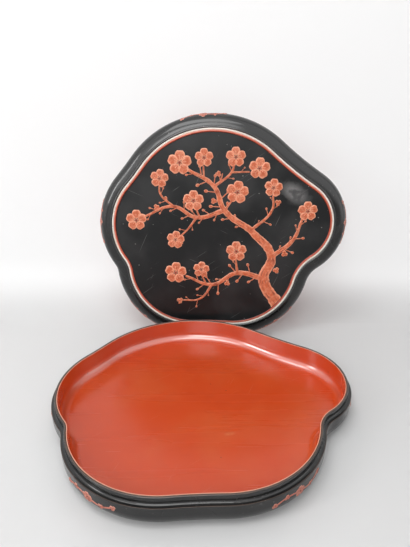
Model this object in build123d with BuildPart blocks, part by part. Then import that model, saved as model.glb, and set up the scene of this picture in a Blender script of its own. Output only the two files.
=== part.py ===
from build123d import *
import os
from itertools import pairwise
from math import asin, atan2, cos, degrees, hypot, radians, sin, sqrt, tan

# A five-lobed lidded box in lacquered wood, shown open: the tray lies flat and its lid
# stands behind it, leaning back, with its decorated face to the front.
# Millimetres. Origin at the middle of the tray's underside, +Z up, +Y to the back.

# Planform: each lobe has the angle of its crown, its reach from the middle and its radius.
RIGHT_LOBE_ANGLE = 11.0
RIGHT_REACH = 171.7
RIGHT_RADIUS = 78.0
BACK_LOBE_ANGLE = 129.0
BACK_REACH = 159.6
BACK_RADIUS = 139.0
LEFT_LOBE_ANGLE = 177.5
LEFT_REACH = 170.0
LEFT_RADIUS = 101.0
FRONT_LEFT_LOBE_ANGLE = 231.0
FRONT_LEFT_REACH = 169.2
FRONT_LEFT_RADIUS = 106.0
FRONT_RIGHT_LOBE_ANGLE = 293.5
FRONT_RIGHT_REACH = 156.0
FRONT_RIGHT_RADIUS = 108.0

# The notch between two neighbouring lobes is a hollow arc of this radius.
RIGHT_BACK_NOTCH = 500.0
BACK_LEFT_NOTCH = 500.0
LEFT_NOTCH = 20.0
FRONT_NOTCH = 600.0
RIGHT_NOTCH = 36.0

# Tray
WALL_ROLL = 16.0
WALL_STRAIGHT = 9.8
FLOOR_THICK = 5.3
FLOOR_SEAT = 2.0
LIP_INSET = 4.0
LIP_THICK = 2.5
LIP_HEIGHT = 8.5
LIP_BURIED = 14.0
LIP_EASE = 0.9
LIP_FLANGE = 0.9
FLANGE_INSET = 0.9
FLANGE_COVE_SHARE = 0.65
LEDGE_EASE = 0.4
TRAY_LINING = 0.8
LINING_DROP = 0.4
TRAY_COVE = 10.0

# Lid
LID_ROLL = 16.0
LID_SKIRT = 6.0
LID_SIDE_CLEARANCE = 0.4
LID_TOP_CLEARANCE = 0.5
PANEL_THICK = 5.0
PANEL_RECESS = 0.8
LID_LINING = 0.8
LID_COVE = 5.0
BEAD_WIDTH = 3.0
BEAD_HEIGHT = 1.6
LINE_WIDTH = 2.2
LINE_HEIGHT = 1.0
RED_WIDTH = 3.1
RED_HEIGHT = 1.2
TRIM_EASE = 0.5
TRIM_START = 0.3

# Stance of the lid behind the tray
LID_LEAN = 10.3
LID_TURN = -2.1
LID_SIDE_SHIFT = 25.0
LID_GAP = 3.0

# Raised lacquer ornament
RELIEF = 0.9
HEART_RELIEF = 0.4
SIDE_RELIEF = 0.7
GLUE_LINE = 0.05
ORNAMENT_GAP = 0.3
SPRIG_WIDTH = 58.0
SPRIG_BLOSSOM = 6.2
SPRIG_TWIG = 1.6
SPRIG_RISE = 2.0
SPRIG_BEND = 16.0
SPRIG_BUD_LENGTH = 6.8
SPRIG_BUD_WIDTH = 4.8
TRAY_SPRIG_HEIGHT = 16.5
LID_SPRIG_HEIGHT = 11.5

# The plum branch on the panel. Everything is given by a direction from the panel's middle and by
# shares of the way to its edge in that direction, so the branch follows any outline. Limbs have
# stations of direction, place and width, blossoms and buds have direction, place and radius.
PETALS = 5
PETAL_SHARE = 0.43
HEART_SHARE = 0.25
LIMBS = {
    "plum_trunk": [(311, 0.93, 0.141), (315, 0.71, 0.123), (336, 0.67, 0.112), (6, 0.28, 0.075)],
    "plum_bough_upper": [(6, 0.28, 0.065), (86, 0.23, 0.062), (103, 0.46, 0.048), (122, 0.70, 0.030)],
    "plum_bough_left": [(86, 0.23, 0.054), (154, 0.29, 0.041), (156, 0.54, 0.032), (172, 0.74, 0.021)],
    "plum_bough_lower": [(315, 0.71, 0.067), (295, 0.48, 0.050), (264, 0.59, 0.039), (235, 0.56, 0.022)],
    "plum_bough_right": [(336, 0.67, 0.065), (356, 0.71, 0.041), (13, 0.75, 0.022)],
    "plum_twig_top": [(103, 0.46, 0.033), (84, 0.63, 0.025), (83, 0.71, 0.020)],
    "plum_twig_crown": [(84, 0.63, 0.022), (69, 0.71, 0.018)],
    "plum_twig_up": [(112, 0.55, 0.022), (109, 0.68, 0.016)],
    "plum_twig_heart": [(86, 0.23, 0.028), (74, 0.35, 0.021)],
    "plum_twig_middle": [(6, 0.28, 0.031), (27, 0.54, 0.025), (39, 0.69, 0.019)],
    "plum_twig_left": [(156, 0.54, 0.025), (152, 0.72, 0.019), (148, 0.78, 0.016)],
    "plum_twig_down": [(154, 0.29, 0.025), (182, 0.33, 0.018), (190, 0.40, 0.015)],
    "plum_twig_centre": [(295, 0.48, 0.029), (301, 0.32, 0.020)],
    "plum_twig_low": [(264, 0.59, 0.028), (256, 0.75, 0.021), (244, 0.81, 0.016)],
}
BLOSSOMS = [
    (125, 0.80, 0.126),
    (107, 0.76, 0.098),
    (143, 0.82, 0.097),
    (83, 0.79, 0.110),
    (63, 0.81, 0.124),
    (44, 0.75, 0.107),
    (17, 0.82, 0.096),
    (72, 0.46, 0.129),
    (136, 0.42, 0.111),
    (176, 0.81, 0.103),
    (194, 0.46, 0.093),
    (310, 0.27, 0.117),
    (246, 0.43, 0.085),
    (226, 0.60, 0.111),
]
BUDS = [
    (108, 0.32, 0.034),
    (97, 0.59, 0.033),
    (31, 0.65, 0.035),
    (344, 0.77, 0.040),
    (328, 0.79, 0.041),
    (163, 0.67, 0.031),
    (280, 0.57, 0.034),
    (243, 0.81, 0.034),
]

# Sizes that follow from the ones above
LEDGE = WALL_ROLL + WALL_STRAIGHT
RIM = LEDGE + LIP_HEIGHT
LIP_FOOT = LEDGE - LIP_BURIED
LIP_SEAT = LEDGE + LIP_FLANGE
LIP_INSIDE = LIP_INSET + LIP_THICK
LIP_COVE = (LIP_INSET - FLANGE_INSET) * FLANGE_COVE_SHARE
FLOOR_INSET = WALL_ROLL + FLOOR_SEAT
TRAY_INSIDE = LIP_INSIDE + TRAY_LINING
LID_TOP = LID_SKIRT + LID_ROLL
LID_RABBET = LIP_HEIGHT - LIP_FLANGE + LID_TOP_CLEARANCE
SKIRT_INSIDE = LIP_INSET - LID_SIDE_CLEARANCE
PANEL_TOP = LID_TOP - PANEL_RECESS
CEILING = PANEL_TOP - PANEL_THICK
BEAD_INSET = LID_ROLL + TRIM_START
LINE_INSET = BEAD_INSET + BEAD_WIDTH
RED_INSET = LINE_INSET + LINE_WIDTH
PANEL_INSET = RED_INSET + RED_WIDTH

# Points closer than this count as one
SAME = 0.01

# Lobes run counter-clockwise from the right: name, centre x and y, radius, notch that follows.
LOBES = [
    (name, (reach - radius) * cos(radians(way)), (reach - radius) * sin(radians(way)), radius, notch)
    for name, way, reach, radius, notch in (
        ("right", RIGHT_LOBE_ANGLE, RIGHT_REACH, RIGHT_RADIUS, RIGHT_BACK_NOTCH),
        ("back", BACK_LOBE_ANGLE, BACK_REACH, BACK_RADIUS, BACK_LEFT_NOTCH),
        ("left", LEFT_LOBE_ANGLE, LEFT_REACH, LEFT_RADIUS, LEFT_NOTCH),
        ("front_left", FRONT_LEFT_LOBE_ANGLE, FRONT_LEFT_REACH, FRONT_LEFT_RADIUS, FRONT_NOTCH),
        ("front_right", FRONT_RIGHT_LOBE_ANGLE, FRONT_RIGHT_REACH, FRONT_RIGHT_RADIUS, RIGHT_NOTCH),
    )
]


def notch_centre(lobe, following):
    """Centre of the arc that touches a lobe and the one after it from outside."""
    _, x, y, radius, notch = lobe
    _, next_x, next_y, next_radius, _ = following
    apart = hypot(next_x - x, next_y - y)
    along_x = (next_x - x) / apart
    along_y = (next_y - y) / apart
    near = radius + notch
    far = next_radius + notch
    along = (apart**2 + near**2 - far**2) / (2 * apart)
    out = sqrt(near**2 - along**2)
    return x + along * along_x + out * along_y, y + along * along_y - out * along_x


NOTCHES = [notch_centre(lobe, LOBES[(i + 1) % len(LOBES)]) for i, lobe in enumerate(LOBES)]


def bearing(origin, target):
    """Direction in degrees from one point to another."""
    return degrees(atan2(target[1] - origin[1], target[0] - origin[0]))


def lobe_arc(i):
    """Start and size in degrees of a lobe's arc, between its two notches."""
    centre = LOBES[i][1:3]
    start = bearing(centre, NOTCHES[i - 1])
    return start, (bearing(centre, NOTCHES[i]) - start) % 360


def outline(inset):
    """The planform as tangent arcs, moved in by inset, in the current line block."""
    for i, (_, x, y, radius, notch) in enumerate(LOBES):
        start, size = lobe_arc(i)
        CenterArc((x, y), radius - inset, start, size)
        following = LOBES[(i + 1) % len(LOBES)][1:3]
        leave = bearing(NOTCHES[i], (x, y))
        turn = (leave - bearing(NOTCHES[i], following)) % 360
        CenterArc(NOTCHES[i], notch + inset, leave, -turn)


def slab(frame, low, high, inset, mode=Mode.ADD):
    """Fill the planform, moved in by inset, between two heights of a frame."""
    with BuildSketch(frame.offset(low)) as face:
        with BuildLine():
            outline(inset)
        make_face()
    extrude(face.sketch, amount=high - low, mode=mode)


def loop(part, frame, height, inset):
    """Edges of a part that follow the planform, moved in by inset, at a height of a frame."""
    with BuildLine(mode=Mode.PRIVATE) as line:
        outline(inset)
    middles = [frame.from_local_coords(edge @ 0.5 + Vector(0, 0, height)) for edge in line.edges()]
    return [edge for edge in part.edges() if min((edge @ 0.5 - middle).length for middle in middles) < SAME]


def write(part, name):
    part.label = name
    export_step(part, f"parts/{name}.step")


os.makedirs("parts", exist_ok=True)

# The tray lies on the floor. The lid stands on its two front lobes, turned about its own
# normal until both touch, and leans back clear of the tray's back lobe.
TRAY = Plane.XY
_, FL_X, FL_Y, FL_R, _ = LOBES[3]
_, FR_X, FR_Y, FR_R, _ = LOBES[4]
STAND_ROLL = degrees(asin((FR_R - FL_R) / hypot(FR_X - FL_X, FR_Y - FL_Y)))
STAND_ROLL -= bearing((FL_X, FL_Y), (FR_X, FR_Y))
STAND_REACH = FL_R - FL_X * sin(radians(STAND_ROLL)) - FL_Y * cos(radians(STAND_ROLL))
LID_UP = STAND_REACH * cos(radians(LID_LEAN))
TRAY_BACK = LOBES[1][2] + LOBES[1][3]
LID_BACK = TRAY_BACK + LID_GAP + (LID_TOP + BEAD_HEIGHT) / cos(radians(LID_LEAN))
LID_BACK += (LID_UP - LEDGE) * tan(radians(LID_LEAN))
LID_FACING = Vector(0, -1, 0).rotate(Axis.X, -LID_LEAN).rotate(Axis.Z, LID_TURN)
LID_ACROSS = Vector(1, 0, 0).rotate(Axis.Z, LID_TURN).rotate(Axis((0, 0, 0), LID_FACING), STAND_ROLL)
LID = Plane(origin=(LID_SIDE_SHIFT, LID_BACK, LID_UP), x_dir=LID_ACROSS, z_dir=LID_FACING)

# Tray wall: a thick hollowed ring whose outside rolls under to the floor
with BuildPart() as tray_wall:
    slab(TRAY, 0, LEDGE, 0)
    fillet(loop(tray_wall, TRAY, 0, 0), WALL_ROLL)
    fillet(loop(tray_wall, TRAY, LEDGE, 0), LEDGE_EASE)
    slab(TRAY, LIP_FOOT, LEDGE, LIP_INSET, Mode.SUBTRACT)
    slab(TRAY, FLOOR_THICK, LIP_FOOT, LIP_INSIDE, Mode.SUBTRACT)
    slab(TRAY, 0, FLOOR_THICK, FLOOR_INSET, Mode.SUBTRACT)
write(tray_wall.part, "tray_wall")

# Floor board, let into the wall from below
with BuildPart() as tray_floor:
    slab(TRAY, 0, FLOOR_THICK, FLOOR_INSET)
write(tray_floor.part, "tray_floor")

# Lip: a thin bent hoop set inside the wall that stands up above its ledge to locate the lid,
# with a coved foot that spreads over the ledge
with BuildPart() as tray_lip:
    slab(TRAY, LIP_FOOT, RIM, LIP_INSET)
    slab(TRAY, LEDGE, LIP_SEAT, FLANGE_INSET)
    fillet(loop(tray_lip, TRAY, LIP_SEAT, LIP_INSET), LIP_COVE)
    slab(TRAY, LIP_FOOT, RIM, LIP_INSIDE, Mode.SUBTRACT)
    fillet(loop(tray_lip, TRAY, RIM, LIP_INSET) + loop(tray_lip, TRAY, RIM, LIP_INSIDE), LIP_EASE)
write(tray_lip.part, "tray_lip")

# Lining: cloth and red lacquer over the inside, built up to a cove along the floor's edge
with BuildPart() as tray_lining:
    slab(TRAY, FLOOR_THICK, RIM - LINING_DROP, LIP_INSIDE)
    slab(TRAY, FLOOR_THICK + TRAY_LINING, RIM - LINING_DROP, TRAY_INSIDE, Mode.SUBTRACT)
    fillet(loop(tray_lining, TRAY, FLOOR_THICK + TRAY_LINING, TRAY_INSIDE), TRAY_COVE)
write(tray_lining.part, "tray_lining")

# Lid wall: a skirt that drops around the lip, rounding over to a flat rim that holds the panel
with BuildPart() as lid_wall:
    slab(LID, 0, LID_TOP, 0)
    fillet(loop(lid_wall, LID, LID_TOP, 0), LID_ROLL)
    slab(LID, 0, LID_RABBET, SKIRT_INSIDE, Mode.SUBTRACT)
    fillet(loop(lid_wall, LID, 0, SKIRT_INSIDE), LIP_COVE + LID_SIDE_CLEARANCE)
    slab(LID, LID_RABBET, CEILING, TRAY_INSIDE, Mode.SUBTRACT)
    slab(LID, CEILING, LID_TOP, PANEL_INSET, Mode.SUBTRACT)
write(lid_wall.part, "lid_wall")

# Lid panel: the flat board that carries the ornament, a little below the rim
with BuildPart() as lid_panel:
    slab(LID, CEILING, PANEL_TOP, PANEL_INSET)
write(lid_panel.part, "lid_panel")

# Lid lining: red lacquer over the underside, coved into the wall
with BuildPart() as lid_lining:
    slab(LID, LID_RABBET, CEILING, TRAY_INSIDE)
    slab(LID, LID_RABBET, CEILING - LID_LINING, TRAY_INSIDE + LID_LINING, Mode.SUBTRACT)
    fillet(loop(lid_lining, LID, CEILING - LID_LINING, TRAY_INSIDE + LID_LINING), LID_COVE)
write(lid_lining.part, "lid_lining")

# Three strips run around the panel on the rim: a black bead, a cream line and a red bead
for strip, inset, width, height in (
    ("panel_bead", BEAD_INSET, BEAD_WIDTH, BEAD_HEIGHT),
    ("panel_line", LINE_INSET, LINE_WIDTH, LINE_HEIGHT),
    ("panel_red_bead", RED_INSET, RED_WIDTH, RED_HEIGHT),
):
    with BuildPart() as trim:
        slab(LID, LID_TOP, LID_TOP + height, inset)
        slab(LID, LID_TOP, LID_TOP + height, inset + width, Mode.SUBTRACT)
        edges = loop(trim, LID, LID_TOP + height, inset) + loop(trim, LID, LID_TOP + height, inset + width)
        fillet(edges, TRIM_EASE)
    write(trim.part, strip)


def panel_reach(direction):
    """The way from the panel's middle to its edge, in a direction."""
    way = Vector(cos(radians(direction)), sin(radians(direction)))
    for i, (_, x, y, radius, _) in enumerate(LOBES):
        beside = abs(way.X * y - way.Y * x)
        if beside < radius - PANEL_INSET:
            reach = way.dot(Vector(x, y)) + sqrt((radius - PANEL_INSET) ** 2 - beside**2)
            start, size = lobe_arc(i)
            if (bearing((x, y), (way.X * reach, way.Y * reach)) - start) % 360 <= size:
                return reach
    reaches = []
    for (x, y), (_, _, _, _, notch) in zip(NOTCHES, LOBES):
        along = way.dot(Vector(x, y))
        beside = abs(way.X * y - way.Y * x)
        if along > 0 and beside < notch + PANEL_INSET:
            reaches.append(along - sqrt((notch + PANEL_INSET) ** 2 - beside**2))
    return min(reaches)


def on_panel(direction, share, size_share):
    """A point on the panel and a size, from shares of the way to its edge in a direction."""
    reach = panel_reach(direction)
    way = Vector(cos(radians(direction)), sin(radians(direction)))
    return way * (reach * share), reach * size_share


def limb(stations):
    """A crooked tapering limb in the current sketch, through stations of a point and a width."""
    for (near, width), (far, next_width) in pairwise(stations):
        along = (far - near).normalized()
        side = Vector(-along.Y, along.X)
        Polygon(
            near + side * (width / 2),
            near - side * (width / 2),
            far - side * (next_width / 2),
            far + side * (next_width / 2),
            align=None,
        )
        with Locations(far):
            Circle(next_width / 2)


def blossom(radius):
    """A round-petalled blossom in the current sketch."""
    petal = radius * PETAL_SHARE
    Circle(radius - petal)
    with PolarLocations(radius - petal, PETALS, start_angle=90):
        Circle(petal)


# Raised lacquer plum branch on the panel. Each limb stops against the limbs before it
# and against the blossoms and buds.
grown = []
for name, stations in LIMBS.items():
    with BuildPart() as raised:
        with BuildSketch(LID.offset(PANEL_TOP)) as shape:
            limb([on_panel(*station) for station in stations])
            for flower in BLOSSOMS + BUDS:
                middle, radius = on_panel(*flower)
                with Locations(middle):
                    Circle(radius + ORNAMENT_GAP, mode=Mode.SUBTRACT)
            for earlier in grown:
                add(earlier, mode=Mode.SUBTRACT)
        extrude(amount=RELIEF)
    grown.append(shape.sketch_local)
    write(raised.part, name)

for number, flower in enumerate(BLOSSOMS, 1):
    middle, radius = on_panel(*flower)
    with BuildPart() as raised:
        with BuildSketch(LID.offset(PANEL_TOP)):
            with Locations(middle):
                blossom(radius)
        extrude(amount=RELIEF)
        with BuildSketch(LID.offset(PANEL_TOP + RELIEF)):
            with Locations(middle):
                Circle(radius * HEART_SHARE)
        extrude(amount=HEART_RELIEF)
    write(raised.part, f"plum_blossom_{number:02d}")

for number, flower in enumerate(BUDS, 1):
    middle, radius = on_panel(*flower)
    with BuildPart() as raised:
        with BuildSketch(LID.offset(PANEL_TOP)):
            with Locations(middle):
                Circle(radius)
        extrude(amount=RELIEF)
    write(raised.part, f"plum_bud_{number:02d}")


def tray_envelope(grow):
    """The tray wall's outside as a full block, grown outwards."""
    with BuildPart() as block:
        slab(TRAY, -grow, LEDGE, -grow)
        fillet(loop(block, TRAY, -grow, -grow), WALL_ROLL + grow)
    return block.part


def lid_envelope(grow):
    """The lid wall's outside as a full block, grown outwards."""
    with BuildPart() as block:
        slab(LID, 0, LID_TOP + grow, -grow)
        fillet(loop(block, LID, LID_TOP + grow, -grow), LID_ROLL + grow)
    return block.part


def wall_plane(frame, i, height):
    """A plane just outside the crown of a lobe at a height of a frame, facing out."""
    _, x, y, radius, _ = LOBES[i]
    start, size = lobe_arc(i)
    way = radians(start + size / 2)
    reach = radius + SPRIG_BLOSSOM
    point = frame.from_local_coords((x + reach * cos(way), y + reach * sin(way), height))
    out = frame.x_dir * cos(way) + frame.y_dir * sin(way)
    side = frame.y_dir * cos(way) - frame.x_dir * sin(way)
    return Plane(origin=point, x_dir=side, z_dir=out)


# A small sprig of raised lacquer, a blossom between two budding twigs, on each lobe's side
for prefix, frame, envelope, height in (
    ("tray_sprig", TRAY, tray_envelope, TRAY_SPRIG_HEIGHT),
    ("lid_sprig", LID, lid_envelope, LID_SPRIG_HEIGHT),
):
    skin = envelope(GLUE_LINE + SIDE_RELIEF)
    core = envelope(GLUE_LINE)
    for i, lobe in enumerate(LOBES):
        with BuildPart() as raised:
            add(skin)
            add(core, mode=Mode.SUBTRACT)
            with BuildSketch(wall_plane(frame, i, height)):
                blossom(SPRIG_BLOSSOM)
                for way in (-1, 1):
                    bend = Vector(way * SPRIG_BEND, -way * SPRIG_RISE)
                    tip = Vector(way * SPRIG_WIDTH / 2, way * SPRIG_RISE)
                    limb([(Vector(0, 0), SPRIG_TWIG), (bend, SPRIG_TWIG), (tip, SPRIG_TWIG)])
                    with Locations(bend, tip):
                        Ellipse(SPRIG_BUD_LENGTH / 2, SPRIG_BUD_WIDTH / 2)
            extrude(amount=-SPRIG_WIDTH, mode=Mode.INTERSECT)
        write(raised.part, f"{prefix}_{lobe[0]}")
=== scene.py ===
import math
import bmesh
import bpy
import numpy as np
from mathutils import Matrix, Vector


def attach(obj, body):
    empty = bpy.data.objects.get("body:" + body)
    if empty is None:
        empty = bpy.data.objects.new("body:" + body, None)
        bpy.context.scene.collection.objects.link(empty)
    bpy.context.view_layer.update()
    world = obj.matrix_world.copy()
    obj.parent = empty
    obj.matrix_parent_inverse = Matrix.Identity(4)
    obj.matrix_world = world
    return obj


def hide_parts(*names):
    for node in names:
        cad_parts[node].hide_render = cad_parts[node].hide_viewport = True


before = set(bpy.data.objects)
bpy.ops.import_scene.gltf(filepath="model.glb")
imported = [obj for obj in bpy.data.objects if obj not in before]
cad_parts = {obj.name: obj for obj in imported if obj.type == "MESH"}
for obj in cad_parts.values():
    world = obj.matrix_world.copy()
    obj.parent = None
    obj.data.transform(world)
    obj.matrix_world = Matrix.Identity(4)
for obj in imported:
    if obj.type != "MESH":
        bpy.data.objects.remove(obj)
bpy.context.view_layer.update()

# Tray wall: a thick wooden ring turned under at the foot, with a ledge on top for the lid.
# Black lacquer is brushed on in many coats and rubbed smooth between them, so it stays a
# little wavy and cloudy, and the top edge is rubbed through to the brown ground.
MM = 0.001
LEDGE = 25.8 * MM
LEDGE_RUB = 0.5 * MM
WALL_DULLNESS = 0.14
BLACK_IOR = 1.52
BLACK_BUMP = 0.6 * MM
BLACK = (0.0085, 0.0085, 0.0088, 1)
BLACK_CLOUDED = (0.017, 0.0165, 0.016, 1)
GROUND_BROWN = (0.075, 0.034, 0.018, 1)
DUST_GREY = (0.22, 0.21, 0.2, 1)


def put(tree, kind, sockets=(), **settings):
    """Adds a node with its settings, and sets or links its sockets."""
    node = tree.nodes.new(kind)
    for name, value in settings.items():
        setattr(node, name, value)
    for socket, value in dict(sockets).items():
        if isinstance(value, bpy.types.NodeSocket):
            tree.links.new(value, node.inputs[socket])
        else:
            node.inputs[socket].default_value = value
    return node


def made(tree, kind, sockets=(), **settings):
    """Adds a node and returns its first output."""
    return put(tree, kind, sockets, **settings).outputs[0]


def calc(tree, operation, *values):
    """A number worked out from others."""
    return made(tree, "ShaderNodeMath", dict(enumerate(values)), operation=operation)


def times(tree, first, *others):
    """Numbers multiplied in turn."""
    for other in others:
        first = calc(tree, "MULTIPLY", first, other)
    return first


def plus(tree, first, *others):
    """Numbers added in turn."""
    for other in others:
        first = calc(tree, "ADD", first, other)
    return first


def minus(tree, first, other):
    """One number less another."""
    return calc(tree, "SUBTRACT", first, other)


def fade(tree, value, start, end, low=0.0, high=1.0):
    """A soft step from low to high as a value goes from start to end."""
    sockets = {"Value": value, "From Min": start, "From Max": end, "To Min": low, "To Max": high}
    return made(tree, "ShaderNodeMapRange", sockets, interpolation_type="SMOOTHSTEP")


def ease(tree, share, low, high):
    """A soft step from low to high as a share goes from none to all."""
    return fade(tree, share, 0.0, 1.0, low, high)


def tint(tree, share, under, over, amount=1.0):
    """One colour laid over another by a share of an amount."""
    share = times(tree, share, amount)
    return put(tree, "ShaderNodeMix", {0: share, 6: under, 7: over}, data_type="RGBA").outputs[2]


def vector_of(tree, x=0.0, y=0.0, z=0.0):
    """Three numbers as one vector."""
    return made(tree, "ShaderNodeCombineXYZ", {0: x, 1: y, 2: z})


def parts_of(tree, vector):
    """The three numbers of a vector."""
    return put(tree, "ShaderNodeSeparateXYZ", {0: vector}).outputs


def cloud(tree, vector, scale, detail=3.0):
    """Soft noise around one half."""
    sockets = {"Vector": vector, "Scale": scale, "Detail": detail}
    return put(tree, "ShaderNodeTexNoise", sockets).outputs["Fac"]


def effect(name, outputs, **inputs):
    """An empty shader group for a place and named numbers, and its two ends."""
    tree = bpy.data.node_groups.new(name, "ShaderNodeTree")
    tree.interface.new_socket("Vector", in_out="INPUT", socket_type="NodeSocketVector")
    for label, value in inputs.items():
        socket = tree.interface.new_socket(label, in_out="INPUT", socket_type="NodeSocketFloat")
        socket.default_value = value
    for label in outputs:
        tree.interface.new_socket(label, in_out="OUTPUT", socket_type="NodeSocketFloat")
    start = tree.nodes.new("NodeGroupInput").outputs
    return tree, start, tree.nodes.new("NodeGroupOutput").inputs


# Brushed coats: slow waves, a fine orange peel and cloudy patches
sizes = {"Waves": 30.0, "Peel": 900.0}
brushed_coats, given, result = effect("brushed_coats", ("Height", "Clouds"), **sizes)
t = brushed_coats
waves = cloud(t, given["Vector"], given["Waves"], 1.0)
peel = times(t, cloud(t, given["Vector"], given["Peel"], 1.0), 0.035)
t.links.new(plus(t, waves, peel), result["Height"])
patches = cloud(t, given["Vector"], times(t, given["Waves"], 0.8), 6.0)
t.links.new(fade(t, patches, 0.42, 0.7), result["Clouds"])

# Hairline scratches: three directions of drawn-out noise, cut off near its peaks
sizes = {"Run": 14.0, "Fineness": 900.0, "Amount": 0.3}
hairlines, given, result = effect("hairlines", ("Lines",), **sizes)
t = hairlines
drawn = vector_of(t, given["Run"], given["Fineness"], given["Run"])
limit = minus(t, 0.86, times(t, given["Amount"], 0.2))
lines = 0.0
for turn in ((0.3, 0.2, 0.35), (-0.4, 0.9, 1.5), (0.8, -0.5, -0.7)):
    turned = made(t, "ShaderNodeMapping", {"Vector": given["Vector"], "Rotation": turn})
    turned = made(t, "ShaderNodeVectorMath", {0: turned, 1: drawn}, operation="MULTIPLY")
    streak = fade(t, cloud(t, turned, 1.0, 0.0), limit, plus(t, limit, 0.04))
    lines = calc(t, "MAXIMUM", lines, streak)
t.links.new(lines, result["Lines"])

# Dust: round specks of mixed size, most places bare
dust, given, result = effect("dust", ("Specks",), Scale=260.0, Size=0.16)
t = dust
cells = put(t, "ShaderNodeTexVoronoi", {"Vector": given["Vector"], "Scale": given["Scale"]}).outputs
chance = made(t, "ShaderNodeSeparateColor", {0: cells["Color"]})
size = times(t, given["Size"], fade(t, chance, 0.8, 1.0))
t.links.new(calc(t, "LESS_THAN", cells["Distance"], size), result["Specks"])

# Rubbed edge: strongest at no distance from the edge, broken up unevenly along it
sizes = {"Distance": 0.0, "Width": 1 * MM, "Patch": 60.0}
rubbed_edge, given, result = effect("rubbed_edge", ("Rub",), **sizes)
t = rubbed_edge
uneven = fade(t, cloud(t, given["Vector"], given["Patch"], 4.0), 0.3, 0.75, 0.15, 1.0)
reach = plus(t, times(t, given["Width"], uneven), 0.01 * MM)
share = calc(t, "DIVIDE", given["Distance"], reach)
t.links.new(fade(t, share, 0.5, 1.0, 1.0, 0.0), result["Rub"])


def use(tree, group, place, **sockets):
    """Puts a shader group in a material at a place and returns its outputs."""
    return put(tree, "ShaderNodeGroup", {"Vector": place, **sockets}, node_tree=group).outputs


def shader_of(material):
    """A material's shader."""
    return material.node_tree.nodes["Principled BSDF"]


def finish_of(name, **sockets):
    """A new material with plain values set, its tree and Object coordinates."""
    material = bpy.data.materials.new(name)
    material.use_nodes = True
    for socket, value in sockets.items():
        shader_of(material).inputs[socket.replace("_", " ")].default_value = value
    tree = material.node_tree
    return material, tree, put(tree, "ShaderNodeTexCoord").outputs["Object"]


def surface(material, colour, roughness, height, depth):
    """Links a finished colour, roughness and bump to a material, and returns it."""
    tree = material.node_tree
    bump = made(tree, "ShaderNodeBump", {"Height": height, "Strength": 1.0, "Distance": depth})
    for socket, value in {"Base Color": colour, "Roughness": roughness, "Normal": bump}.items():
        tree.links.new(value, shader_of(material).inputs[socket])
    return material


def coated(tree, place, under, over, low, high, amount=1.0, **sizes):
    """Brushed coats: their height, their clouded colour and their roughness from low to high."""
    coats = use(tree, brushed_coats, place, **sizes)
    colour = tint(tree, coats["Clouds"], under, over, amount)
    return coats["Height"], colour, ease(tree, coats["Clouds"], low, high)


def black_lacquer(name, dullness, rub_distance, rub_width):
    """Black lacquer with cloudy coats, hairlines, dust and a rubbed edge."""
    material, t, place = finish_of(name, IOR=BLACK_IOR)
    height, colour, roughness = coated(t, place, BLACK, BLACK_CLOUDED, dullness, dullness + 0.1)
    scratches = use(t, hairlines, place, Amount=0.25)["Lines"]
    specks = use(t, dust, place)["Specks"]
    away = rub_distance(t, place)
    rub = use(t, rubbed_edge, place, Distance=away, Width=rub_width)["Rub"]
    colour = tint(t, rub, colour, GROUND_BROWN, 0.4)
    colour = tint(t, specks, colour, DUST_GREY, 0.5)
    roughness = plus(t, roughness, times(t, scratches, 0.18), times(t, rub, 0.3))
    height = minus(t, height, times(t, scratches, 0.02))
    return surface(material, colour, roughness, height, BLACK_BUMP)


def below_ledge(tree, place):
    """Distance down from the tray's ledge."""
    return minus(tree, LEDGE, parts_of(tree, place)["Z"])


def dress(node, material):
    """Gives a CAD node its finish."""
    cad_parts[node].data.materials.clear()
    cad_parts[node].data.materials.append(material)


dress("tray_wall", black_lacquer("tray_wall_lacquer", WALL_DULLNESS, below_ledge, LEDGE_RUB))

# Tray floor: a flat board let into the wall from below, black like the wall outside.
# It has stood on shelves for years, so its underside is dulled by fine rubbing all over.
BOARD_DULLNESS = 0.42
BOARD_RUB = 0.8 * MM


def always_rubbed(tree, place):
    """A small distance everywhere, so the whole board is rubbed in patches."""
    return times(tree, cloud(tree, place, 45.0, 5.0), 1.0 * MM)


dress("tray_floor", black_lacquer("tray_floor_lacquer", BOARD_DULLNESS, always_rubbed, BOARD_RUB))

# Tray lip: a thin hoop of bent wood glued inside the wall, standing above the ledge so that
# the lid drops around it. Black lacquer down to a coved foot, polished higher than the wall's.
# The lid has rubbed its top edge a little brown; the brown is partly a painted highlight along the
# edge.
RIM = 34.3 * MM
RIM_RUB_AND_HIGHLIGHT = 0.4 * MM
RIM_BROWN_HIGHLIGHT = (0.33, 0.2, 0.14, 1)
LIP_BUMP = 0.15 * MM


def lip_lacquer():
    """Polished black lacquer with long hairlines, a little brown along the top edge: rubbing and a
    painted highlight.
    """
    material, t, place = finish_of("tray_lip_lacquer", IOR=BLACK_IOR)
    height, colour, roughness = coated(t, place, BLACK, BLACK_CLOUDED, 0.08, 0.14)
    scratches = use(t, hairlines, place, Run=5.0, Amount=0.4)["Lines"]
    down = minus(t, RIM, parts_of(t, place)["Z"])
    rub = use(t, rubbed_edge, place, Distance=down, Width=RIM_RUB_AND_HIGHLIGHT, Patch=90.0)["Rub"]
    # Brown top edge: rubbing, and partly a painted highlight along the rim.
    colour = tint(t, rub, colour, RIM_BROWN_HIGHLIGHT, 0.2)
    roughness = plus(t, roughness, times(t, scratches, 0.15), times(t, rub, 0.2))
    return surface(material, colour, roughness, height, LIP_BUMP)


dress("tray_lip", lip_lacquer())
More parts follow.
